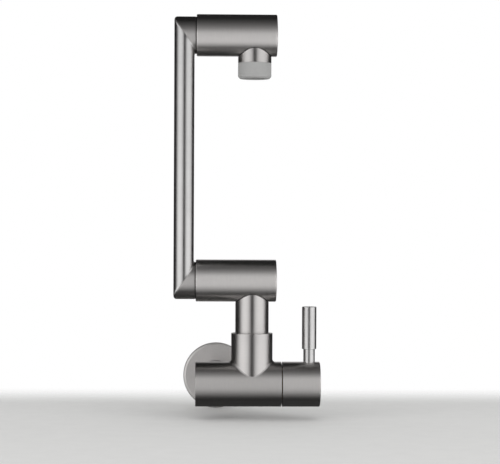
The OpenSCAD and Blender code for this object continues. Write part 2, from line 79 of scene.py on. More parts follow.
# Places and sizes in millimetres, read from the frame
BODY_Y = middle("handle_drum", "y")
BODY_R = half("handle_drum", "z")
BODY_LEFT, BODY_RIGHT = span("valve_body", "x")
BOSS_END = span("valve_body", "y")[1] - BODY_Y
COLLAR_TOP = span("valve_body", "z")[1]
HANDLE_LEFT, HANDLE_RIGHT = span("handle_drum", "x")
LEVER_X, LEVER_TOP = middle("lever", "x"), span("lever", "z")[1]
GRIP_R = half("lever", "x")
NECK_X, NECK_R = middle("neck_washer", "x"), half("swivel_neck", "x")
SHOULDER, SPIGOT_LOW = span("neck_washer", "z")[1], span("swivel_neck", "z")[0]
SCREW_Z = middle("neck_screw", "z")
DRUM_LEFT, SHELL_END = span("lower_drum", "x")
CAP_END, DRUM_R = span("lower_cap", "x")[1], half("lower_drum", "z")
LOWER_Z, UPPER_Z = middle("lower_drum", "z"), middle("upper_drum", "z")
SEAM, BUSH_R = span("lower_front_bush", "x")[0], half("lower_front_bush", "z")
ARM_X, ARM_W = middle("arm_tube", "x"), half("arm_tube", "x")
ELBOW_R = half("lower_elbow", "z")
OUTLET_X, OUTLET_R = middle("outlet_neck", "x"), half("outlet_neck", "x")
OUTLET_END, MOUTH = span("outlet_neck", "z")[0], span("aerator_ring", "z")[0]
RING_TOP = span("aerator_ring", "z")[1]
PLATE_FRONT, PLATE_R = span("wall_plate", "y")[0], half("wall_plate", "x")
THREAD_END = span("inlet_nipple", "y")[1]
# Sizes of the same pieces that no box shows
COLLAR_R, BOSS_R, STEM_R = 18.0, 14.0, 5.0
GRIP_LOW = 30.7  # where the lever gets thicker
WALL = 1.5  # of the arm and its elbows
CROWN = 0.8  # rise of a domed end
WATERWAY = 6.5  # radius of the bore through the fittings
SHAFT_R, BUSH_BORE, FRONT_BUSH = 12.0, 12.05, 9.0
DRUM_BORE, PLUG_R = 15.0, 14.98
FLANGE = 0.77  # of a bush, just thinner than the seam it fills
# Grooves of the seals, the screw and the clips, as depth and width
SHAFT_SEAL, CAP_SEAL, SCREW_GROOVE, CLIP_GROOVE = (1.6, 2.4), (1.6, 2.0), (2.4, 4.2), (0.8, 1.24)
PIPE_R = 20.955 / 2  # outside radius of the inlet's pipe thread
FINE = 0.1  # rounding of a machined edge


class FaucetSizes(bpy.types.PropertyGroup):
    """Sizes that show as highlights along edges, seams and grips"""

    edge: FloatProperty(
        name="Edge rounding", description="Radius on the ends of turned pieces",
        default=0.0009, min=0.0002, max=0.001, unit="LENGTH")
    weld: FloatProperty(
        name="Collar fillet", description="Radius where collar and boss meet the body",
        default=0.0024, min=0.0005, max=0.003, unit="LENGTH")
    cope: FloatProperty(
        name="Cope edge", description="Rounding of the fine seams under the drums",
        default=0.0008, min=0.0001, max=0.001, unit="LENGTH")
    outer_mitre: FloatProperty(
        name="Outer corner", description="Rounding of the arm's outer corners",
        default=0.0026, min=0.0003, max=0.003, unit="LENGTH")
    inner_mitre: FloatProperty(
        name="Inner corner", description="Fillet in the arm's inner corners",
        default=0.0009, min=0.0002, max=0.0009, unit="LENGTH")
    knurl_width: FloatProperty(
        name="Knurl width", description="Width of a ridge round the aerator",
        default=0.0008, min=0.0004, max=0.0012, unit="LENGTH")
    knurl_depth: FloatProperty(
        name="Knurl depth", description="How far a ridge stands out",
        default=0.00012, min=0.00005, max=0.0003, unit="LENGTH")
    knurl_count: IntProperty(
        name="Knurl count", description="Ridges round the aerator",
        default=90, min=24, max=120)
    thread_pitch: FloatProperty(
        name="Thread pitch", description="Pitch of the inlet's pipe thread",
        default=0.001814, min=0.001, max=0.0025, unit="LENGTH")
    thread_depth: FloatProperty(
        name="Thread depth", description="Depth of the inlet's pipe thread",
        default=0.001162, min=0.0005, max=0.0015, unit="LENGTH")


class FaucetFinishes(bpy.types.PropertyGroup):
    """Colours and textures of the finishes"""

    steel: FloatVectorProperty(
        name="Steel", description="Colour of the satin steel", subtype="COLOR",
        size=3, min=0, max=1, default=(0.64, 0.622, 0.612))
    steel_rough: FloatProperty(
        name="Steel roughness", description="Mean roughness of the brushed steel",
        default=0.43, min=0.1, max=0.8)
    # Painted shade: the body's and the handle's copies of the one steel get a deeper grey,
    # standing in for how dark their reflections look.
    body_painted_shade: FloatProperty(
        name="Body shade", description="How much deeper the body's grey is",
        default=0.785, min=0.5, max=1)
    brushing: FloatProperty(
        name="Brushing", description="Depth of the brushed grooves",
        default=0.000003, min=0, max=0.00003, precision=7, unit="LENGTH")
    ring: FloatVectorProperty(
        name="Aerator ring", description="Colour of the matte aerator ring", subtype="COLOR",
        size=3, min=0, max=1, default=(0.385, 0.385, 0.38))
    seal: FloatVectorProperty(
        name="Rubber", description="Colour of the seals", subtype="COLOR",
        size=3, min=0, max=1, default=(0.02, 0.02, 0.02))
    bush: FloatVectorProperty(
        name="Bushes", description="Colour of the dark plastic", subtype="COLOR",
        size=3, min=0, max=1, default=(0.012, 0.012, 0.013))


class FaucetStage(bpy.types.PropertyGroup):
    """Camera, floor and light"""

    camera: FloatVectorProperty(
        name="Camera", description="Where the camera stands", subtype="TRANSLATION",
        size=3, unit="LENGTH", default=(-0.011, -1.56, 0.139))
    target: FloatVectorProperty(
        name="Target", description="What the camera points at", subtype="TRANSLATION",
        size=3, unit="LENGTH", default=(0.0285, -0.09, 0.1323))
    lens: FloatProperty(
        name="Lens", description="Focal length in millimetres", default=121.7, min=50, max=200)
    roll: FloatProperty(
        name="Roll", description="Turn of the picture about its middle",
        default=radians(0.25), min=-0.1, max=0.1, unit="ROTATION")
    floor: FloatVectorProperty(
        name="Floor", description="Colour of the floor", subtype="COLOR",
        size=3, min=0, max=1, default=(0.8, 0.8, 0.79))
    power: FloatProperty(
        name="Soft box", description="Power of each front soft box",
        default=10.5, min=0, max=60, unit="POWER")
    glow: FloatProperty(
        name="Reflected light", description="Light of the soft boxes in the steel, over white",
        default=0.46, min=0, max=1)
    ambient: FloatProperty(
        name="Studio light", description="Light of the white studio on the object",
        default=0.68, min=0, max=1)


# Profiles and skins

ARC_STEPS = 5  # faces round a rounded edge
SUPPORT = 0.35  # distance of the line that keeps a face flat up to its rounding
STRAIGHT = 0.05  # a turn, in radians, that stays unrounded
LEAST, ROOM = 0.03, 0.45  # least rounding, and the share of a side that one may use
WORN_AND_LIT = 0.25  # rounding above which an edge is lightened, partly as rubbed steel and partly as a painted highlight


def rounded(corners, closed=True):
    """Points, outward normals and edge marks (rubbed and painted highlight) of a profile run
    clockwise, with the axis below it.

    A corner is (place along the axis, radius) and its rounding, which is FINE if none is given.
    An open profile starts and ends on the axis."""
    points, normals, wear_and_highlight = [], [], []
    count = len(corners)

    def add(p, n, w=0.0):
        points.append(p)
        normals.append(n)
        wear_and_highlight.append(w)

    for i, (a, r, *given) in enumerate(corners):
        here = np.array((a, r), float)
        before, after = corners[i - 1][:2], corners[(i + 1) % count][:2]
        d0 = here - np.array(before, float) if closed or i else None
        d1 = np.array(after, float) - here if closed or i < count - 1 else None
        if d0 is None or d1 is None:
            d = d1 if d0 is None else d0
            d /= np.linalg.norm(d)
            add(here, np.array((-d[1], d[0]) if r else (np.sign(-d[1]), 0.0)))
            continue
        room0, room1 = np.linalg.norm(d0), np.linalg.norm(d1)
        d0, d1 = d0 / room0, d1 / room1
        n0, n1 = np.array((-d0[1], d0[0])), np.array((-d1[1], d1[0]))
        turn = atan2(d0[0] * d1[1] - d0[1] * d1[0], float(d0 @ d1))
        if abs(turn) < STRAIGHT:
            add(here, (n0 + n1) / np.linalg.norm(n0 + n1))
            continue
        side = 1 if turn < 0 else -1
        wanted = given[0] if given else FINE
        rounding = min(max(wanted, LEAST), ROOM * min(room0, room1) / tan(abs(turn) / 2))
        back = rounding * tan(abs(turn) / 2)
        centre = here - d0 * back - side * n0 * rounding
        # A convex edge with a wide rounding is marked to be lightened: partly rubbed steel, partly
        # a painted highlight.
        worn_and_lit = float(side > 0 and rounding > WORN_AND_LIT)
        if room0 - 2 * back > 3 * SUPPORT:
            add(here - d0 * (back + SUPPORT), n0)
        for k in range(ARC_STEPS + 1):
            c, s = cos(turn * k / ARC_STEPS), sin(turn * k / ARC_STEPS)
            n = np.array((n0[0] * c - n0[1] * s, n0[0] * s + n0[1] * c))
            add(centre + side * n * rounding, n, worn_and_lit)
        if room1 - 2 * back > 3 * SUPPORT:
            add(here + d1 * (back + SUPPORT), n1)
    return np.array(points), np.array(normals), np.array(wear_and_highlight)


def dome(end, rim):
    """Corners of a slightly domed end face, from inside its rim to the axis."""
    ball = (rim * rim + CROWN * CROWN) / (2 * CROWN)
    rings = rim * np.array((0.82, 0.6, 0.4, 0.2, 0.0))
    return [(end - ball + sqrt(ball * ball - r * r), r, 0) for r in rings]


def groove(middle_at, radius, depth, width):
    """Corners of a groove in a profile that runs forwards along its axis."""
    low, high = middle_at - width / 2, middle_at + width / 2
    return [(low, radius), (low, radius - depth), (high, radius - depth), (high, radius)]


def axes(direction):
    """Unit vectors along a turned piece's axis and across it, right-handed."""
    along = {"x": (1, 0, 0), "y": (0, 1, 0), "z": (0, 0, 1), "-z": (0, 0, -1)}[direction]
    across = (0, -1, 0) if "z" in direction else (0, 0, 1)
    along, across = np.array(along, float), np.array(across, float)
    return along, across, np.cross(along, across)


def angles(turns=TURNS):
    """Even steps round a circle."""
    return np.arange(turns) * 2 * pi / turns


def circle(radius, count):
    """Points of a circle about the origin, as pairs."""
    return [(radius * cos(angle), radius * sin(angle)) for angle in angles(count)]


def turned(origin, direction, corners, closed=True, turns=TURNS):
    """The skin of a turned piece: points, normals and edge marks (rubbed and painted highlight) in
    grids, and if its profile closes.
    """
    points, normals, wear_and_highlight = rounded(corners, closed)
    along, up, side = axes(direction)
    angle = angles(turns)[:, None, None]
    radial = np.cos(angle) * up + np.sin(angle) * side
    grid = np.array(origin) + points[None, :, :1] * along + points[None, :, 1:] * radial
    normal = normals[None, :, :1] * along + normals[None, :, 1:] * radial
    return grid, normal, np.tile(wear_and_highlight, (turns, 1)), closed


SEAM_LINES, FILLET_LINES = 5, 9  # lines that round a coped joint
SUNK, BORE_SUNK = 0.6, 1.5  # how far its skin and its bore run on inside the host


def coped(centre, direction, radius, host, outer_end, bore, fillet=0.0, seam=0.0, edge=0.3):
    """A tube that meets a crossing cylinder in a rolled fillet or in a fine seam.

    It runs along direction from the host cylinder, whose axis is X through centre and whose
    radius is host, out to outer_end. Its bore is a list of corners from there inwards, with
    distances from the host's axis."""
    along, up, side = axes(direction)
    crossways = np.cross((1.0, 0.0, 0.0), along)
    profile, profile_n, profile_w = rounded(
        [(outer_end - 4, radius), (outer_end, radius, edge)] + bore, closed=False)
    keep, inner = slice(1, len(profile) - 1), bore[-1][1]
    rows, norms, marks = [], [], []
    for angle in angles():
        radial = cos(angle) * up + sin(angle) * side
        offset = float(radial @ crossways)
        low = sqrt(host ** 2 - (inner * offset) ** 2) - BORE_SUNK
        points, normals = [radial * inner + along * low], [-radial]
        if seam:
            height = sqrt(host ** 2 - (radius * offset) ** 2)
            points.append(radial * (radius - seam) + along * (height - SUNK))
            normals.append(radial)
            for k in range(SEAM_LINES):
                lean = pi / 2 / (SEAM_LINES - 1) * k
                n = radial * sin(lean) - along * cos(lean)
                points.append(radial * (radius - seam) + along * (height + seam) + n * seam)
                normals.append(n)
        else:
            height = sqrt((host + fillet) ** 2 - ((radius + fillet) * offset) ** 2)
            ball = radial * (radius + fillet) + along * height
            out = ball - np.array((ball[0], 0.0, 0.0))
            out /= np.linalg.norm(out)
            opening = np.arccos(np.clip(float(radial @ out), -1, 1))
            points.append(ball - out * (fillet + SUNK))
            normals.append(out)
            for k in range(FILLET_LINES):
                share = k / (FILLET_LINES - 1)
                n = np.sin((1 - share) * opening) * out + np.sin(share * opening) * radial
                n /= np.sin(opening)
                points.append(ball - n * fillet)
                normals.append(n)
        marks.append([0.0] * len(points) + list(profile_w[keep]))
        rows.append(points + [along * a + radial * r for a, r in profile[keep]])
        norms.append(normals + [along * a + radial * r for a, r in profile_n[keep]])
    return np.array(centre, float) + np.array(rows), np.array(norms), np.array(marks), True


def piece(name, skins, finish, body, nodes):
    """One object from closed skins, which stands for CAD nodes. Returns its exact normals too."""
    verts, normals, wear_and_highlight, faces = [], [], [], []
    start = 0
    for grid, normal, worn_and_lit, closed in skins:
        turns, columns = grid.shape[:2]
        first, last = (0, columns) if closed else (1, columns - 1)
        index = start + np.arange(turns * (last - first)).reshape(turns, last - first)
        ahead = np.roll(index, -1, axis=0)
        quads = np.stack((index[:, :-1], index[:, 1:], ahead[:, 1:], ahead[:, :-1]), -1)
        block = [tuple(q) for q in quads.reshape(-1, 4).tolist()]
        points, norms = grid[:, first:last].reshape(-1, 3), normal[:, first:last].reshape(-1, 3)
        marks = worn_and_lit[:, first:last].reshape(-1)
        if closed:
            seam = np.stack((index[:, -1], index[:, 0], ahead[:, 0], ahead[:, -1]), -1)
            block += [tuple(q) for q in seam.tolist()]
        else:
            ends = start + len(points), start + len(points) + 1
            points = np.vstack((points, grid[0, 0], grid[0, -1]))
            norms = np.vstack((norms, normal[0, 0], normal[0, -1]))
            marks = np.append(marks, (0.0, 0.0))
            block += [(ends[0], int(index[i, 0]), int(ahead[i, 0])) for i in range(turns)]
            block += [(int(index[i, -1]), ends[1], int(ahead[i, -1])) for i in range(turns)]
        facing = 0.0
        for corners in block[:200]:
            a, b, c = np.array(corners[:3]) - start
            across = np.cross(points[b] - points[a], points[c] - points[a])
            facing += float(across @ norms[[a, b, c]].mean(0))
        if facing < 0:
            block = [f[::-1] for f in block]
        verts.append(points)
        normals.append(norms)
        wear_and_highlight.append(marks)
        faces += block
        start += len(points)
    mesh = bpy.data.meshes.new(name)
    mesh.from_pydata((np.vstack(verts) * MM).tolist(), [], faces)
    mesh.polygons.foreach_set("use_smooth", [True] * len(faces))
    mesh.attributes.new("wear_and_highlight", "FLOAT", "POINT").data.foreach_set("value", np.concatenate(wear_and_highlight))
    mesh.materials.append(MATERIALS[finish])
    mesh.update()
    exact = np.vstack(normals)
    exact /= np.linalg.norm(exact, axis=1)[:, None]
    mesh.normals_split_custom_set_from_vertices(exact.tolist())
    return placed(bpy.data.objects.new(name, mesh), body, nodes), exact


def placed(obj, body, nodes):
    """Link an object, hang it on the empty of the body it rides on, and hide the CAD nodes it
    stands for.
    """
    bpy.context.scene.collection.objects.link(obj)
    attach(obj, body)
    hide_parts(*nodes)
    return obj


def banded(obj, skin, lines, finish):
    """Give the lines that round a coped piece's joint a finish of their own."""
    columns = skin[0].shape[1]
    obj.data.materials.append(MATERIALS[finish])
    for face in obj.data.polygons:
        if all(1 <= v % columns <= lines + 1 for v in face.vertices):
            face.material_index = 1


def applied(obj):
    """The plain mesh that an object's modifier makes, with the modifier taken off."""
    bpy.context.view_layer.update()
    depsgraph = bpy.context.evaluated_depsgraph_get()
    mesh = bpy.data.meshes.new_from_object(obj.evaluated_get(depsgraph))
    obj.modifiers.clear()
    return mesh


def drilled(obj, exact, centre, radius, depth):
    """Drill a piece along -Y from its back, and give its old skin its exact normals again."""
    tree = KDTree(len(obj.data.vertices))
    for i, vertex in enumerate(obj.data.vertices):
        tree.insert(vertex.co, i)
    tree.balance()
    x, y, z = centre
    sides, past = 48, 9
    verts = [((x + a) * MM, end * MM, (z + b) * MM)
             for end in (y - depth, y + past) for a, b in circle(radius, sides)]
    caps = [tuple(range(sides)), tuple(reversed(range(sides, 2 * sides)))]
    walls = [(i, i + sides, (i + 1) % sides + sides, (i + 1) % sides) for i in range(sides)]
    drill = bpy.data.meshes.new("drill")
    drill.from_pydata(verts, [], caps + walls)
    tool = bpy.data.objects.new("drill", drill)
    bpy.context.scene.collection.objects.link(tool)
    cut = obj.modifiers.new("drill", "BOOLEAN")
    cut.object, cut.operation, cut.solver = tool, "DIFFERENCE", "EXACT"
    mesh = applied(obj)
    bpy.data.objects.remove(tool)
    axis = Vector((x * MM, 0, z * MM))
    reach, bottom = radius * 1.02 * MM, (y - depth) * MM - 1e-6
    normals = []
    for face in mesh.polygons:
        places = [mesh.vertices[v].co for v in face.vertices]
        inward = [axis - Vector((co.x, 0, co.z)) for co in places]
        wall = all(n.length < reach and co.y > bottom for n, co in zip(inward, places))
        normals += [tuple(n.normalized() if wall else exact[tree.find(co)[1]])
                    for n, co in zip(inward, places)]
    mesh.normals_split_custom_set(normals)
    obj.data = mesh
    return obj


def grown(name, tree, values):
    """An object whose mesh a geometry tree makes from named values."""
    obj = bpy.data.objects.new(name, bpy.data.meshes.new(name))
    grow = obj.modifiers.new("grow", "NODES")
    grow.node_group = tree
    for socket in tree.interface.items_tree:
        if socket.in_out == "INPUT" and socket.name in values:
            grow[socket.identifier] = values[socket.name]
    bpy.context.scene.collection.objects.link(obj)
    obj.data = applied(obj)
    bpy.context.scene.collection.objects.unlink(obj)
    if not obj.data.polygons:
        raise RuntimeError(name + " came out empty")
    return obj


# Node trees

class Nodes:
    """Short hands for building a shader or geometry tree."""

    def __init__(self, tree):
        self.tree = tree

    def feed(self, socket, value):
        """Link a socket to another, or set its own value."""
        if isinstance(value, bpy.types.NodeSocket):
            self.tree.links.new(value, socket)
        else:
            socket.default_value = value

    def node(self, kind, inputs=(), **settings):
        full = kind.startswith(("Geometry", "NodeGroup"))
        n = self.tree.nodes.new(kind if full else "ShaderNode" + kind)
        for key, value in settings.items():
            setattr(n, key, value)
        for key, value in dict(inputs).items():
            self.feed(n.inputs[key], value)
        return n

    def math(self, operation, *values, clamp=False):
        inputs = dict(enumerate(values))
        return self.node("Math", inputs, operation=operation, use_clamp=clamp).outputs[0]

    def vector(self, operation, *values):
        n = self.node("VectorMath", dict(enumerate(values)), operation=operation)
        return n.outputs["Value" if operation in ("DOT_PRODUCT", "LENGTH") else "Vector"]

    def scaled(self, vector, factor):
        inputs = {0: vector, "Scale": factor}
        return self.node("VectorMath", inputs, operation="SCALE").outputs["Vector"]

    def spread(self, value, low, high, to_low=0.0, to_high=1.0, kind="LINEAR"):
        inputs = {"Value": value, "From Min": low, "From Max": high, "To Min": to_low,
                  "To Max": to_high}
        return self.node("MapRange", inputs, interpolation_type=kind).outputs["Result"]

    def noise(self, vector, scale, detail=2.0, rough=0.5):
        inputs = {"Vector": vector, "Scale": scale, "Detail": detail, "Roughness": rough}
        return self.node("TexNoise", inputs).outputs["Fac"]


class Finish(Nodes):
    """A material with its shader and the place on the object at hand."""

    def __init__(self, name):
        self.material = bpy.data.materials.new(name)
        self.material.use_nodes = True
        super().__init__(self.material.node_tree)
        self.shader = self.tree.nodes["Principled BSDF"]
        self.output = self.tree.nodes["Material Output"]
        self.place = self.node("TexCoord").outputs["Object"]

    def colours(self, factor, first, second):
        return self.node("Mix", {0: factor, 6: first, 7: second}, data_type="RGBA").outputs[2]

    def bump(self, height, distance, strength=0.5):
        inputs = {"Strength": strength, "Distance": distance, "Height": height}
        return self.node("Bump", inputs).outputs["Normal"]

    def wear_and_highlight(self):
        return self.node("Attribute", attribute_name="wear_and_highlight").outputs["Fac"]

    def in_world(self, vector):
        return self.node("VectorTransform", {"Vector": vector}, vector_type="VECTOR",
                         convert_from="OBJECT", convert_to="WORLD").outputs["Vector"]

    def set(self, **sockets):
        for key, value in sockets.items():
            self.feed(self.shader.inputs[key.replace("_", " ")], value)
        return self.material

    def mixed_surface(self, factor, first, second):
        mix = self.node("MixShader", {0: factor, 1: first.outputs[0], 2: second.outputs[0]})
        self.feed(self.output.inputs["Surface"], mix.outputs[0])


def tint(colour, factor):
    return tuple(min(1.0, c * factor) for c in colour[:3]) + (1.0,)


GROOVES, STREAKS = 5200.0, 700.0  # brushed lines to the metre, fine and broad


def brushed_steel(name, direction, centre, shade=1.0, prism=False):
    """Satin steel brushed round one axis, in fine grooves, with rubbed edges that are also
    lightened as a painted highlight.

    A prism's grooves run round its section, and any other piece's run in circles."""
    finish = bpy.context.scene.faucet_finishes
    # shade paints this part's copy of the steel lighter or darker: painted light and shade.
    steel, mean = tint(finish.steel, shade), finish.steel_rough
    t = Finish(name)
    along = tuple(float(direction == axis) for axis in "xyz")
    offset = t.vector("SUBTRACT", t.place, tuple(c * MM for c in centre))
    height = t.vector("DOT_PRODUCT", offset, along)
    flat = t.vector("SUBTRACT", offset, t.scaled(along, height))
    # lines lie close together along the axis and out from it, and run long round it
    if prism:
        step, run = height, t.scaled(flat, 90.0)
        normal = t.node("NewGeometry").outputs["Normal"]
        tangent = t.vector("CROSS_PRODUCT", t.in_world(along), normal)
    else:
        step = t.math("ADD", height, t.vector("LENGTH", flat))
        run = t.scaled(t.vector("NORMALIZE", flat), 2.2)
        tangent = t.in_world(t.vector("CROSS_PRODUCT", along, offset))

    def lines(density, *detail):
        steps = t.scaled(along, t.math("MULTIPLY", step, density))
        return t.noise(t.vector("ADD", steps, run), 1.0, *detail)

    grooves, streaks = lines(GROOVES, 3.0, 0.6), lines(STREAKS)
    cloud = t.noise(t.place, 42.0, 3.0, 0.55)
    patches = t.spread(t.noise(t.place, 260.0), 0.35, 0.6, 0.2, 1.0)
    # Marked edges get a lighter, smoother steel in patches: partly rubbed edges, partly a painted
    # highlight.
    worn_and_lit = t.math("MULTIPLY", t.wear_and_highlight(), patches)
    shades = t.math("ADD", t.spread(streaks, 0.3, 0.7, -0.018, 0.018),
                    t.spread(grooves, 0.25, 0.75, -0.04, 0.04))
    tone = t.math("ADD", t.math("ADD", shades, 0.5), t.math("MULTIPLY", worn_and_lit, 0.14), clamp=True)
    rough = t.math("ADD", t.spread(grooves, 0.3, 0.7, mean - 0.03, mean + 0.03),
                   t.spread(cloud, 0.35, 0.65, -0.015, 0.02))
    rough = t.math("SUBTRACT", rough, t.math("MULTIPLY", worn_and_lit, 0.05))
    return t.set(
        Base_Color=t.colours(tone, tint(steel, 0.62), tint(steel, 1.38)), Metallic=1.0,
        Roughness=rough, Normal=t.bump(grooves, finish.brushing), Anisotropic=0.93,
        Anisotropic_Rotation=0.25, Tangent=tangent)


def grained(name, colour, roughness, metal=0.0, grain=1600.0, depth=0.00002, specular=0.5,
            mottle=0.05):
    """Blasted metal, moulded plastic or rubber, with a fine even grain and a faint mottle."""
    t = Finish(name)
    fine = t.noise(t.place, grain, 4.0, 0.65)
    cloud = t.noise(t.place, grain / 30, 3.0)
    wear_and_highlight = t.wear_and_highlight()
    tone = t.math("ADD", t.spread(fine, 0.3, 0.7, 0.4, 0.6),
                  t.spread(cloud, 0.3, 0.7, -mottle, mottle))
    # Marked edges come out lighter and smoother: partly rubbed edges, partly a painted highlight.
    tone = t.math("ADD", tone, t.math("MULTIPLY", wear_and_highlight, 0.12), clamp=True)
    rough = t.math("SUBTRACT", t.spread(fine, 0.3, 0.7, roughness - 0.05, roughness + 0.06),
                   t.math("MULTIPLY", wear_and_highlight, 0.06))
    return t.set(
        Base_Color=t.colours(tone, tint(colour, 0.72), tint(colour, 1.28)), Metallic=metal,
        Roughness=rough, Normal=t.bump(fine, depth), Specular_IOR_Level=specular)


def turned_brass(name):
    """Machined brass with fine tool marks round the headwork's axis."""
    t = Finish(name)
    marks = t.noise(t.vector("MULTIPLY", t.place, (4200.0, 120.0, 120.0)), 1.0)
    cloud = t.noise(t.place, 90.0, 3.0)
    tone = t.math("ADD", t.spread(marks, 0.3, 0.7, 0.35, 0.6),
                  t.spread(cloud, 0.3, 0.7, -0.1, 0.1), clamp=True)
    return t.set(
        Base_Color=t.colours(tone, (0.42, 0.31, 0.14, 1), (0.68, 0.52, 0.27, 1)), Metallic=1.0,
        Roughness=t.spread(marks, 0.3, 0.7, 0.26, 0.4), Normal=t.bump(marks, 0.00001, 0.4))


class Growth(Nodes):
    """A geometry tree with named inputs, which ends in real faces and one material."""

    def __init__(self, name, **inputs):
        super().__init__(bpy.data.node_groups.new(name, "GeometryNodeTree"))
        face = self.tree.interface
        for label, kind in inputs.items():
            face.new_socket(label.replace("_", " "), in_out="INPUT",
                            socket_type="NodeSocket" + kind)
        face.new_socket("Geometry", in_out="OUTPUT", socket_type="NodeSocketGeometry")
        self.given = self.node("NodeGroupInput").outputs

    def grow(self, kind, inputs=(), **settings):
        return self.node("GeometryNode" + kind, inputs, **settings).outputs[0]

    def close(self, geometry, material):
        real = self.grow("RealizeInstances", {"Geometry": geometry})
        dressed = self.grow("SetMaterial", {"Geometry": real, "Material": material})
        self.node("NodeGroupOutput", {"Geometry": dressed})
        return self.tree


def knurl_tree(material):
    """Straight ridges in a ring."""
    g = Growth("straight_knurl", Count="Int", Ring_radius="Float", Ridge_radius="Float",
               Height="Float", Centre="Vector")
    given = g.given
    ring = g.grow("MeshCircle", {"Vertices": given["Count"], "Radius": given["Ring radius"]})
    ridge = g.grow("MeshCylinder", {
        "Vertices": 10, "Radius": given["Ridge radius"], "Depth": given["Height"]})
    set_round = g.grow("InstanceOnPoints", {"Points": ring, "Instance": ridge})
    moved = g.grow("Transform", {"Geometry": set_round, "Translation": given["Centre"]})
    return g.close(moved, material)


def thread_tree(material):
    """A screw thread: one ridge swept along a spiral round Y, which runs out at its free end."""
    g = Growth("pipe_thread", Turns="Float", Core_radius="Float", Ridge="Float", Length="Float",
               Start="Float")
    given = g.given
    spiral = g.grow("CurveSpiral", {
        "Resolution": 72, "Rotations": given["Turns"], "Start Radius": given["Core radius"],
        "End Radius": given["Core radius"], "Height": given["Length"]})
    upright = g.grow("SetCurveNormal", {"Curve": spiral}, mode="Z_UP")
    run_out = g.spread(g.grow("SplineParameter"), 0.93, 1.0, 1.0, 0.35)
    tapered = g.grow("SetCurveRadius", {"Curve": upright, "Radius": run_out})
    wedge = g.grow("CurvePrimitiveCircle", {"Resolution": 3, "Radius": given["Ridge"]})
    swept = g.grow("CurveToMesh", {
        "Curve": tapered, "Profile Curve": wedge, "Fill Caps": True})
    start = g.node("CombineXYZ", {1: given["Start"]}).outputs[0]
    laid = g.grow("Transform", {
        "Geometry": swept, "Rotation": (-pi / 2, 0, 0), "Translation": start})
    return g.close(laid, material)


MATERIALS = {}


class FAUCET_OT_finishes(bpy.types.Operator):
    """Make the steels, plastics, rubber, brass and ceramic"""

    bl_idname = "faucet.finishes"
    bl_label = "Finishes"

    def execute(self, context):
        finish = context.scene.faucet_finishes
        # Painted light and shade: the shade column gives each part a lighter or darker copy of the
        # one steel, standing in for how bright its reflections look.
        for name, direction, centre, shade in (
                ("body", "x", (0, BODY_Y, 0), finish.body_painted_shade),
                ("handle", "x", (0, BODY_Y, 0), finish.body_painted_shade * 1.08),
                ("lower_joint", "x", (0, BODY_Y, LOWER_Z), 1.0),
                ("upper_joint", "x", (0, BODY_Y, UPPER_Z), 1.0),
                ("lower_elbow", "x", (0, BODY_Y, LOWER_Z), 0.79),
                ("upper_elbow", "x", (0, BODY_Y, UPPER_Z), 0.79),
                ("neck", "z", (NECK_X, BODY_Y, 0), 1.08),
                ("inlet", "y", (0, 0, 0), 1.0),
                ("lever", "z", (LEVER_X, BODY_Y, 0), 1.24),
                ("outlet", "z", (OUTLET_X, BODY_Y, 0), 1.08),
                ("arm", "z", (ARM_X, BODY_Y, 0), 1.18)):
            MATERIALS[name] = brushed_steel(
                "steel_round_" + name, direction, centre, shade, prism=name == "arm")
        MATERIALS.update(
            plate=grained("satin_wall_plate", finish.steel, 0.5, 0.75, 1500.0, 0.00003),
            ring=grained("matte_aerator", finish.ring, 0.6, 0.15, 1900.0, 0.00003, 0.25, 0.03),
            bush=grained("dark_acetal", finish.bush, 0.5, specular=0.2),
            pale=grained("grey_acetal", (0.4, 0.4, 0.39), 0.45),
            # Painted shadow: a near-black colour on the lines that round the fine seams under the
            # drums, standing in for the shade in the crevice.
            seam=grained("dark_seam", (0.03, 0.03, 0.03), 0.7, specular=0.2),
            rubber=grained("black_rubber", finish.seal, 0.62, specular=0.3, mottle=0.1),
            ceramic=grained("lapped_ceramic", (0.78, 0.78, 0.76), 0.2, depth=0.00001,
                            mottle=0.03),
            brass=turned_brass("turned_brass"),
        )
        return {"FINISHED"}


class FAUCET_OT_valve_body(bpy.types.Operator):
    """Turned tee with its collar and its rear boss, blended in rolled fillets"""

    bl_idname = "faucet.valve_body"
    bl_label = "Valve body"

    def execute(self, context):
        size = context.scene.faucet_sizes
        edge, weld = size.edge / MM, size.weld / MM
        left, right = BODY_LEFT, BODY_RIGHT
        mouth, bottom, end_wall = right - 1.7, right - 34, left + 6.5
        relief, chamber, passage = 12.25, 10.5, 5.5  # radii of its bore from the mouth inwards
        barrel = turned((0, BODY_Y, 0), "x", [
            (left, 0), (left, BODY_R, edge * 0.5), (right, BODY_R, 0.2), (right, relief),
            (mouth, relief), (mouth, chamber), (bottom, chamber, 0.3), (bottom, passage),
            (end_wall, passage), (end_wall, 0)], closed=False)
        piece("valve_barrel", [barrel], "body", "base", ["valve_body"])
        seat, ledge = 14.8, COLLAR_TOP - 5
        collar = coped((NECK_X, BODY_Y, 0), "z", COLLAR_R, BODY_R, COLLAR_TOP, [
            (COLLAR_TOP, seat, 0.2), (ledge, seat), (ledge, BUSH_BORE),
            (BODY_R - 2.5, BUSH_BORE)], fillet=weld, edge=0.5)
        made, exact = piece("valve_collar", [collar], "neck", "base", ["valve_body"])
        # The collar's fillet lines take the body's steel, with its deeper painted shade.
        banded(made, collar, FILLET_LINES, "body")
        drilled(made, exact, (NECK_X, BODY_Y + COLLAR_R, SCREW_Z), radius=2.5, depth=6.5)
        tapped, floor, inner_end = 10, BOSS_END - 12.5, 10
        boss = coped((0, BODY_Y, 0), "y", BOSS_R, BODY_R, BOSS_END, [
            (BOSS_END, tapped, 0.3), (floor, tapped), (floor, WATERWAY),
            (inner_end, WATERWAY)], fillet=weld)
        piece("valve_boss", [boss], "inlet", "base", ["valve_body"])
        return {"FINISHED"}


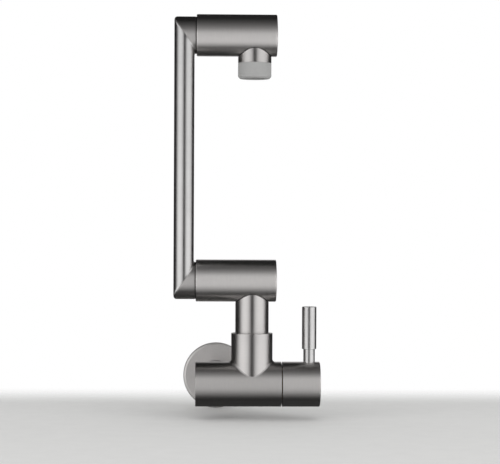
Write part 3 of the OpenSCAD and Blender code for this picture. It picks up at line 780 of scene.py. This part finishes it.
class FAUCET_OT_inlet(bpy.types.Operator):
    """Inlet nipple with its cut pipe thread, and the round wall plate"""

    bl_idname = "faucet.inlet"
    bl_label = "Inlet and wall plate"

    def execute(self, context):
        size = context.scene.faucet_sizes
        core = PIPE_R - size.thread_depth / MM
        shank, front, end = BODY_Y + BOSS_END, PLATE_FRONT, THREAD_END
        screwed, waist, chamfer, start = 9.98, 9.68, 0.5, -0.8
        nipple = turned((0, 0, 0), "y", [
            (shank - 11, WATERWAY), (shank - 11, screwed, 0.2), (shank, screwed, 0.05),
            (shank, BOSS_R, 0.3), (front, BOSS_R, 0.3), (front, waist), (start - 0.2, waist),
            (start, core), (end - chamfer, core, 0.2), (end, core - chamfer),
            (end, WATERWAY, 0.2)])
        piece("inlet_nipple_steel", [nipple], "inlet", "base", ["inlet_nipple"])
        begin, short = -0.5, 0.8  # the ridge begins inside the plate and ends short of the mouth
        length = (end - short) * MM
        thread = grown("inlet_thread_ridge", thread_tree(MATERIALS["inlet"]), {
            "Turns": length / size.thread_pitch, "Core radius": core * MM,
            "Ridge": size.thread_depth, "Length": length, "Start": begin * MM})
        placed(thread, "base", ["inlet_nipple"])
        hole, sheet = 10.68, 1.2
        plate = turned((0, 0, 0), "y", [
            (front, hole, 0.15), (front, PLATE_R - 2, 0.5), (front + 0.7, PLATE_R - 0.7, 0.6),
            (front + 1.8, PLATE_R, 0.6), (0, PLATE_R, 0.2), (0, PLATE_R - sheet, 0.2),
            (front + sheet, PLATE_R - sheet, 0.9), (front + sheet, hole, 0.15)])
        piece("wall_plate_steel", [plate], "plate", "base", ["wall_plate"])
        return {"FINISHED"}


class FAUCET_OT_handle(bpy.types.Operator):
    """Handle drum with its hub, and the lever with its thicker grip"""

    bl_idname = "faucet.handle"
    bl_label = "Handle"

    def execute(self, context):
        edge = context.scene.faucet_sizes.edge / MM
        left, right = HANDLE_LEFT, HANDLE_RIGHT
        floor, hub_end = right - 4.5, left + 11.9
        recess, hub, socket = 15, 8, 4.02  # radii inside the drum
        drum = turned((0, BODY_Y, 0), "x", [
            (floor, 0), (floor, socket), (hub_end, socket), (hub_end, hub, 0.2),
            (floor, hub, 0.3), (floor, recess, 0.5), (left, recess, 0.2), (left, BODY_R, 0.2),
            (right - CROWN, BODY_R, edge)] + dome(right, BODY_R - edge), closed=False)
        piece("handle_drum_steel", [drum], "handle", "handle", ["handle_drum"])
        soft, foot, pin_end, pin = edge * 0.6, BODY_R - 1, 3.2, 2.98
        lever = turned((LEVER_X, BODY_Y, 0), "z", [
            (pin_end, 0), (pin_end, pin, 0.6), (foot, pin, 0.05), (foot, STEM_R, 0.05),
            (GRIP_LOW, STEM_R, 0.25), (GRIP_LOW, GRIP_R, soft), (LEVER_TOP, GRIP_R, soft),
            (LEVER_TOP, 0)], closed=False, turns=128)
        piece("lever_steel", [lever], "lever", "handle", ["lever"])
        return {"FINISHED"}


def joint(name, z, body):
    """Drum shell, end cap and the bush whose dark flange fills the seam."""
    edge = bpy.context.scene.faucet_sizes.edge / MM
    place, finish = (DRUM_LEFT, BODY_Y, z), name + "_joint"
    shell_end, end, rear = SHELL_END - DRUM_LEFT, CAP_END - DRUM_LEFT, NECK_X - DRUM_LEFT + 9
    shell = turned(place, "x", [
        (0, DRUM_BORE, 0.2), (0, DRUM_R, edge), (shell_end, DRUM_R, 0.05),
        (shell_end, DRUM_BORE), (rear, DRUM_BORE), (rear, BUSH_BORE), (FRONT_BUSH, BUSH_BORE),
        (FRONT_BUSH, DRUM_BORE)])
    piece(name + "_drum_steel", [shell], finish, body, [name + "_drum"])
    plug, hollow = rear + 4.5, 12.75
    cap = turned(place, "x", [
        (shell_end, 0), (shell_end, hollow, 0.2), (plug, hollow, 0.2), (plug, PLUG_R, 0.2)]
        + groove((plug + shell_end) / 2, PLUG_R, *CAP_SEAL)
        + [(shell_end, PLUG_R, 0.05), (shell_end, DRUM_R, 0.05), (end - CROWN, DRUM_R, edge)]
        + dome(end, DRUM_R - edge), closed=False)
    piece(name + "_cap_steel", [cap], finish, body, [name + "_cap"])
    bush = turned(place, "x", [
        (-FLANGE, BUSH_BORE), (-FLANGE, BUSH_R, 0.12), (0, BUSH_R, 0.05), (0, PLUG_R, 0.05),
        (FRONT_BUSH, PLUG_R, 0.2), (FRONT_BUSH, BUSH_BORE)])
    piece(name + "_bush_dark", [bush], "bush", body, [name + "_front_bush"])


class FAUCET_OT_lower_joint(bpy.types.Operator):
    """Swivel neck, lower drum, its cap and its bush"""

    bl_idname = "faucet.lower_joint"
    bl_label = "Neck and lower joint"

    def execute(self, context):
        joint("lower", LOWER_Z, "neck")
        down, foot, screw = LOWER_Z - SHOULDER, LOWER_Z - SPIGOT_LOW, LOWER_Z - SCREW_Z
        upper_ring = (screw + LOWER_Z - COLLAR_TOP + 5) / 2
        lower_ring = (screw + foot + 0.5) / 2
        neck = coped(
            (NECK_X, BODY_Y, LOWER_Z), "-z", NECK_R, DRUM_R, down,
            [(down, SHAFT_R)] + groove(upper_ring, SHAFT_R, *SHAFT_SEAL)
            + groove(screw, SHAFT_R, *SCREW_GROOVE) + groove(lower_ring, SHAFT_R, *SHAFT_SEAL)
            + [(foot, SHAFT_R, 0.5), (foot, WATERWAY), (DRUM_R - 2, WATERWAY)],
            seam=context.scene.faucet_sizes.cope / MM, edge=0.15)
        made, _ = piece("swivel_neck_steel", [neck], "neck", "neck", ["swivel_neck"])
        # The seam's rounding lines get the near-black painted shadow.
        banded(made, neck, SEAM_LINES, "seam")
        return {"FINISHED"}


ARC = [pi / 16 * k for k in range(9)]  # a quarter turn


def corner(joint_z, up, inset, steps):
    """Lines along the corner of an elbow and the arm: points, normals and edge marks (rubbed and
    painted highlight).

    Each line lies on one arc step, which rounds the outer corner off and fills the inner one.
    The elbow is round and the arm flat oval. Both are as deep, so every arc lies in one plane."""
    size = bpy.context.scene.faucet_sizes
    deep, wide = ELBOW_R - inset, ARM_W - inset
    y, z = -deep * np.cos(angles()), deep * np.sin(angles())
    past_flat = np.maximum(np.abs(y) - (deep - wide), 0)
    x = np.sign(z) * np.sqrt(np.maximum(wide ** 2 - past_flat ** 2, 0))
    share = (1 + z / deep) / 2
    radius = (size.outer_mitre * (1 - share) + size.inner_mitre * share) / MM
    grid, normal, wear_and_highlight = [], [], []
    for t in steps:
        line = np.stack((x + radius * (1 - sin(t)), y, z + radius * (1 - cos(t))), -1)
        n = np.cross(np.roll(line, -1, 0) - np.roll(line, 1, 0), (-cos(t), 0.0, sin(t)))
        n /= np.linalg.norm(n, axis=1)[:, None] * (-1 if inset else 1)
        if not up:
            line[:, 2] *= -1
            n[:, 2] *= -1
        grid.append(line + (ARM_X, BODY_Y, joint_z))
        normal.append(n)
        # The outer corner is marked to be lightened: partly rubbed, partly a painted highlight.
        wear_and_highlight.append(np.clip(-z / deep, 0, 1) * sin(2 * t) * (0 if inset else 1))
    return grid, normal, wear_and_highlight


def joined(*parts):
    """One closed skin from groups of lines."""
    grid, normal, wear_and_highlight = (sum((part[i] for part in parts), []) for i in range(3))
    return np.stack(grid, 1), np.stack(normal, 1), np.stack(wear_and_highlight, 1), True


def backwards(part):
    return tuple(lines[::-1] for lines in part)


def elbow_skin(joint_z, up):
    """Round elbow from its seam to the corner, with its web."""
    angle = angles()
    out = np.stack((np.zeros(TURNS), -np.cos(angle), (1 if up else -1) * np.sin(angle)), -1)
    right = np.tile((1.0, 0.0, 0.0), (TURNS, 1))

    def lines(*rings):
        places = [out * radius + (x, BODY_Y, joint_z) for x, radius, _ in rings]
        return places, [n for _, _, n in rings], [np.zeros(TURNS) for _ in rings]

    soft, web = 0.25, SEAM - 3
    rim = lines(*((SEAM - soft + soft * cos(t), ELBOW_R - soft + soft * sin(t),
                   right * cos(t) + out * sin(t)) for t in ARC[::2]))
    return joined(rim, corner(joint_z, up, 0, ARC[:5]),
                  backwards(corner(joint_z, up, WALL, ARC[:5])),
                  lines((web, ELBOW_R - WALL, -out), (web, WATERWAY, -right),
                        (SEAM, WATERWAY, right)))


class FAUCET_OT_arm(bpy.types.Operator):
    """Flat oval arm and its two round elbows"""

    bl_idname = "faucet.arm"
    bl_label = "Arm"

    def execute(self, context):
        start, rings, step, tail = -1.8, (18, 27), NECK_X - DRUM_LEFT - 9, 10
        clip, end = step + 22.9, step + 24.6
        for name, z, up in (("lower", LOWER_Z, True), ("upper", UPPER_Z, False)):
            shaft = turned(
                (DRUM_LEFT, BODY_Y, z), "x", [(start, WATERWAY), (start, SHAFT_R)]
                + groove(rings[0], SHAFT_R, *SHAFT_SEAL) + groove(rings[1], SHAFT_R, *SHAFT_SEAL)
                + [(step, SHAFT_R, 0.3), (step, tail, 0.3)] + groove(clip, tail, *CLIP_GROOVE)
                + [(end, tail, 0.6), (end, WATERWAY, 0.2)])
            piece(name + "_elbow_steel", [elbow_skin(z, up), shaft], name + "_elbow", "arm",
                  [name + "_elbow"])
        skins = [corner(z, up, inset, ARC[4:]) for inset in (0, WALL)
                 for z, up in ((LOWER_Z, True), (UPPER_Z, False))]
        tube = joined(skins[0], backwards(skins[1]), skins[3], backwards(skins[2]))
        piece("arm_tube_steel", [tube], "arm", "arm", ["arm_tube"])
        return {"FINISHED"}


class FAUCET_OT_upper_joint(bpy.types.Operator):
    """Upper drum, its cap and bush, and the short outlet neck"""

    bl_idname = "faucet.upper_joint"
    bl_label = "Upper joint and outlet"

    def execute(self, context):
        joint("upper", UPPER_Z, "head")
        drop = UPPER_Z - OUTLET_END
        socket, floor = 12.8, drop - 5
        neck = coped((OUTLET_X, BODY_Y, UPPER_Z), "-z", OUTLET_R, DRUM_R, drop, [
            (drop, socket, 0.2), (floor, socket), (floor, WATERWAY),
            (DRUM_R - 2, WATERWAY)], seam=context.scene.faucet_sizes.cope / MM, edge=0.2)
        made, _ = piece("outlet_neck_steel", [neck], "outlet", "head", ["outlet_neck"])
        # The seam's rounding lines get the near-black painted shadow.
        banded(made, neck, SEAM_LINES, "seam")
        return {"FINISHED"}


class FAUCET_OT_aerator(bpy.types.Operator):
    """Aerator ring with a fine straight knurl and a chamfered mouth"""

    bl_idname = "faucet.aerator"
    bl_label = "Aerator"

    def execute(self, context):
        size = context.scene.faucet_sizes
        height, shank, chamfer = OUTLET_END - MOUTH, OUTLET_END - RING_TOP, 1.6
        outside, lip = OUTLET_R - size.knurl_depth / MM, height - 1.6
        screwed, bore, mouth = 12.78, 10.5, 9.5  # radii
        ring = turned((OUTLET_X, BODY_Y, OUTLET_END), "-z", [
            (shank, bore, 0.2), (shank, screwed, 0.2), (0, screwed, 0.05), (0, outside, 0.2),
            (height - chamfer, outside, 0.3), (height, OUTLET_R - chamfer, 0.25),
            (height, mouth, 0.3), (lip, mouth, 0.15), (lip, bore, 0.05)])
        piece("aerator_ring_matte", [ring], "ring", "head", ["aerator_ring"])
        top = 0.6  # plain rim above the knurl, and below it
        band = (height - chamfer - 2 * top) * MM
        knurl = grown("aerator_knurl", knurl_tree(MATERIALS["ring"]), {
            "Count": size.knurl_count, "Ring radius": OUTLET_R * MM - size.knurl_width / 2,
            "Ridge radius": size.knurl_width / 2, "Height": band,
            "Centre": (OUTLET_X * MM, BODY_Y * MM, (OUTLET_END - top) * MM - band / 2)})
        placed(knurl, "head", ["aerator_ring"])
        return {"FINISHED"}


class FAUCET_OT_inner_pieces(bpy.types.Operator):
    """Give the frame's own seals, discs, headwork and clips their finishes"""

    bl_idname = "faucet.inner_pieces"
    bl_label = "Seals and headwork"

    def execute(self, context):
        for finish, nodes in (
                ("rubber", "inlet_washer cartridge_oring seat_seal spindle_orings neck_orings "
                           "lower_cap_oring lower_shaft_orings upper_shaft_orings "
                           "upper_cap_oring aerator_washer"),
                ("ceramic", "fixed_disc moving_disc"),
                ("brass", "cartridge_body spindle"),
                ("bush", "neck_washer lower_rear_bush upper_rear_bush aerator_screen"),
                ("pale", "slip_washer aerator_insert"),
                ("body", "spindle_clip lower_clip upper_clip neck_screw")):
            for node in nodes.split():
                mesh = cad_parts[node].data
                mesh.materials.clear()
                mesh.materials.append(MATERIALS[finish])
        return {"FINISHED"}


# Light that the metal sees, as (degrees, share of white): sideways from straight in front, where a
# dark strip stands, and up from level. BELOW and REAR open the tent a little behind the tap.
STRIP = [(6, 0.0), (12, 0.25), (17, 0.52), (23, 0.7), (32, 0.85), (40, 0.94), (48, 1.0)]
SIDEWAYS = (
    [(-104, 0.0), (-94, 0.14), (-86, 0.4), (-78, 0.7), (-71, 0.92), (-64, 1.0)]
    + [(-degrees, share) for degrees, share in reversed(STRIP)] + STRIP
    + [(76, 1.0), (85, 0.87), (93, 0.62), (101, 0.34), (109, 0.0)])
UPWARDS = [
    (-90, 0.03), (-85, 0.02), (-79, 0.0), (-73, 0.01), (-69, 0.05), (-63, 0.125), (-57, 0.25),
    (-51, 0.39), (-45, 0.55), (-39, 0.69), (-33, 0.84), (-26, 0.95), (-15, 1.0), (14, 1.0),
    (22, 0.98), (28, 0.92), (33, 0.8), (39, 0.61), (45, 0.46), (51, 0.33), (57, 0.245),
    (63, 0.175), (70, 0.1), (76, 0.06), (90, 0.02)]
BELOW = [(-90, 0.02), (-44, 0.02), (-16, 0.0)]
REAR = [(-12, 0.0), (-4, 1.0), (24, 1.0), (32, 0.0)]
BELOW_FROM, REAR_FROM, REAR_SHARE = (86, 96), (158, 168), 0.4  # degrees round from the front
TENT, TENT_R = (0.025, -0.09, 0.085), 0.75  # middle and radius of the dark tent, in metres
TENT_GLOW = 0.025  # what is left of white in its dark parts
FLOOR_R, FLOOR_Z = 1.3, -30.6 * MM
BOX_AWAY, BOX_ANGLE, BOX_SIZE = 1.4, 52, (1.1, 1.3)  # metres, degrees from the front, metres
BOX_LEAD = 0.04  # how much brighter the right soft box is than the mean


class FAUCET_OT_stage(bpy.types.Operator):
    """Camera, pale floor, soft boxes and the dark tent that draws the metal's edges"""

    bl_idname = "faucet.stage"
    bl_label = "Stage"

    def execute(self, context):
        scene, stage = context.scene, context.scene.faucet_stage
        camera = bpy.data.objects.new("camera", bpy.data.cameras.new("camera"))
        camera.data.lens = stage.lens
        camera.data.sensor_width = 36
        camera.location = stage.camera
        aim = Vector(stage.target) - Vector(stage.camera)
        turn = Quaternion((0, 0, 1), stage.roll)
        camera.rotation_euler = (aim.to_track_quat("-Z", "Y") @ turn).to_euler()
        scene.collection.objects.link(camera)
        scene.camera = camera
        self.world(scene, stage)
        self.floor(scene, stage)
        self.tent(scene, stage)
        for side in (-1, 1):
            self.soft_box(scene, stage, side)
        scene.view_settings.view_transform = "Standard"
        return {"FINISHED"}

    def world(self, scene, stage):
        """White where it is seen, and softer where it lights the object."""
        scene.world = bpy.data.worlds.new("studio")
        scene.world.use_nodes = True
        t = Nodes(scene.world.node_tree)
        t.tree.nodes.clear()
        path = t.node("LightPath").outputs
        seen = t.math("MAXIMUM", path["Is Camera Ray"], path["Is Glossy Ray"])
        seen = t.math("MAXIMUM", seen, path["Is Transmission Ray"])
        strength = t.spread(seen, 0, 1, stage.ambient, 1.0)
        white = t.node("Background", {"Color": (1, 1, 1, 1), "Strength": strength})
        t.node("OutputWorld", {"Surface": white.outputs[0]})

    def set_up(self, scene, name, verts, faces, material):
        """A plain object of the stage."""
        mesh = bpy.data.meshes.new(name)
        mesh.from_pydata(verts, [], faces)
        mesh.materials.append(material)
        obj = bpy.data.objects.new(name, mesh)
        scene.collection.objects.link(obj)
        return obj

    def floor(self, scene, stage):
        """A pale floor that fades into the white studio behind the tap."""
        t = Finish("pale_floor")
        away = t.node("SeparateXYZ", {0: t.place}).outputs[1]
        back = t.spread(away, 0.03, 0.2, kind="SMOOTHSTEP")
        wide = t.spread(t.vector("LENGTH", t.place), 0.75, 1.2, kind="SMOOTHSTEP")
        fine = t.noise(t.place, 60.0, 4.0)
        t.set(Base_Color=t.colours(fine, tint(stage.floor, 0.97), tint(stage.floor, 1.03)),
              Roughness=0.85, Specular_IOR_Level=0.2)
        t.mixed_surface(t.math("MAXIMUM", back, wide), t.shader, t.node("BsdfTransparent"))
        ring = [(x, y, FLOOR_Z) for x, y in circle(FLOOR_R, 96)]
        floor = self.set_up(scene, "floor", ring, [tuple(range(96))], t.material)
        floor.visible_glossy = False

    def tent(self, scene, stage):
        """A dark tent that only reflections see, open to the studio where soft light comes in."""
        t = Finish("dark_flags")
        place = t.vector("SUBTRACT", t.place, TENT)
        x, y, z = t.node("SeparateXYZ", {0: place}).outputs
        sideways = t.math("ARCTAN2", x, t.math("MULTIPLY", y, -1.0))
        around = t.math("ABSOLUTE", sideways)
        level = t.node("CombineXYZ", {0: t.math("MULTIPLY", x, 0.5), 1: y}).outputs[0]
        upwards = t.math("ARCTAN2", z, t.vector("LENGTH", level))

        def table(value, stops):
            low, high = stops[0][0], stops[-1][0]
            n = t.node("ValToRGB", {0: t.spread(value, radians(low), radians(high))})
            elements = n.color_ramp.elements
            for i, (degrees, share) in enumerate(stops):
                at = (degrees - low) / (high - low)
                stop = elements[i] if i < 2 else elements.new(at)
                stop.position, stop.color = at, (share, share, share, 1)
            return n.outputs[0]

        behind = t.spread(around, *map(radians, BELOW_FROM))
        rear = t.spread(around, *map(radians, REAR_FROM), 0.0, REAR_SHARE)
        opened = t.math("MULTIPLY", table(sideways, SIDEWAYS), table(upwards, UPWARDS))
        for sector, stops in ((behind, BELOW), (rear, REAR)):
            opened = t.math("MAXIMUM", opened, t.math("MULTIPLY", sector, table(upwards, stops)))
        dark = t.node("Emission", {"Color": (1, 1, 1, 1), "Strength": TENT_GLOW})
        glow = t.node("Emission", {"Strength": stage.glow})
        clear = t.node("BsdfTransparent")
        lit = t.node("AddShader", {0: clear.outputs[0], 1: glow.outputs[0]})
        t.mixed_surface(opened, dark, lit)
        rows, turns = 24, 48
        levels = [pi * (j / rows - 0.5) for j in range(1, rows)]
        verts = [(cos(up) * x, cos(up) * y, sin(up)) for up in levels for x, y in circle(1, turns)]
        verts = [tuple(m + TENT_R * v for m, v in zip(TENT, vert))
                 for vert in verts + [(0, 0, -1), (0, 0, 1)]]
        ahead = [(i, (i + 1) % turns) for i in range(turns)]
        faces = [(low + i, low + n, low + turns + n, low + turns + i)
                 for low in range(0, (rows - 2) * turns, turns) for i, n in ahead]
        top, base = (rows - 2) * turns, len(verts) - 2
        faces += [(base, n, i) for i, n in ahead]
        faces += [(base + 1, top + i, top + n) for i, n in ahead]
        tent = self.set_up(scene, "flags", verts, faces, t.material)
        tent.visible_camera = tent.visible_diffuse = False
        tent.visible_shadow = tent.visible_transmission = False

    def soft_box(self, scene, stage, side):
        """A wide light in front, on one side, that reflections don't see."""
        light = bpy.data.lights.new("soft_box", "AREA")
        light.shape = "RECTANGLE"
        light.size, light.size_y = BOX_SIZE
        light.energy = stage.power * (1 + BOX_LEAD * side)
        box = bpy.data.objects.new("soft_box_left" if side < 0 else "soft_box_right", light)
        target, angle = Vector(stage.target), radians(BOX_ANGLE * side)
        box.location = target + Vector((sin(angle), -cos(angle), 0.0)) * BOX_AWAY
        box.rotation_euler = (target - box.location).to_track_quat("-Z", "Y").to_euler()
        box.visible_camera = box.visible_glossy = False
        scene.collection.objects.link(box)


class FAUCET_PT_panel(bpy.types.Panel):
    """Sizes, finishes and steps of the faucet"""

    bl_idname = "FAUCET_PT_panel"
    bl_label = "Folding faucet"
    bl_space_type = "VIEW_3D"
    bl_region_type = "UI"
    bl_category = "Faucet"

    def draw(self, context):
        scene = context.scene
        for title, group in (("Sizes", scene.faucet_sizes), ("Finishes", scene.faucet_finishes),
                             ("Stage", scene.faucet_stage)):
            box = self.layout.box()
            box.label(text=title)
            for name in group.bl_rna.properties.keys():
                if name not in ("rna_type", "name"):
                    box.prop(group, name)
        for operator in OPERATORS:
            self.layout.operator(operator.bl_idname)


OPERATORS = (
    FAUCET_OT_finishes, FAUCET_OT_valve_body, FAUCET_OT_inlet, FAUCET_OT_handle,
    FAUCET_OT_lower_joint, FAUCET_OT_arm, FAUCET_OT_upper_joint, FAUCET_OT_aerator,
    FAUCET_OT_inner_pieces, FAUCET_OT_stage)
CLASSES = (FaucetSizes, FaucetFinishes, FaucetStage) + OPERATORS + (FAUCET_PT_panel,)


def register():
    for cls in CLASSES:
        bpy.utils.register_class(cls)
    bpy.types.Scene.faucet_sizes = PointerProperty(type=FaucetSizes)
    bpy.types.Scene.faucet_finishes = PointerProperty(type=FaucetFinishes)
    bpy.types.Scene.faucet_stage = PointerProperty(type=FaucetStage)


def unregister():
    del bpy.types.Scene.faucet_stage
    del bpy.types.Scene.faucet_finishes
    del bpy.types.Scene.faucet_sizes
    for cls in reversed(CLASSES):
        bpy.utils.unregister_class(cls)


def main():
    register()
    for operator in OPERATORS:
        group, name = operator.bl_idname.split(".")
        getattr(getattr(bpy.ops, group), name)()


if __name__ == "__main__":
    main()
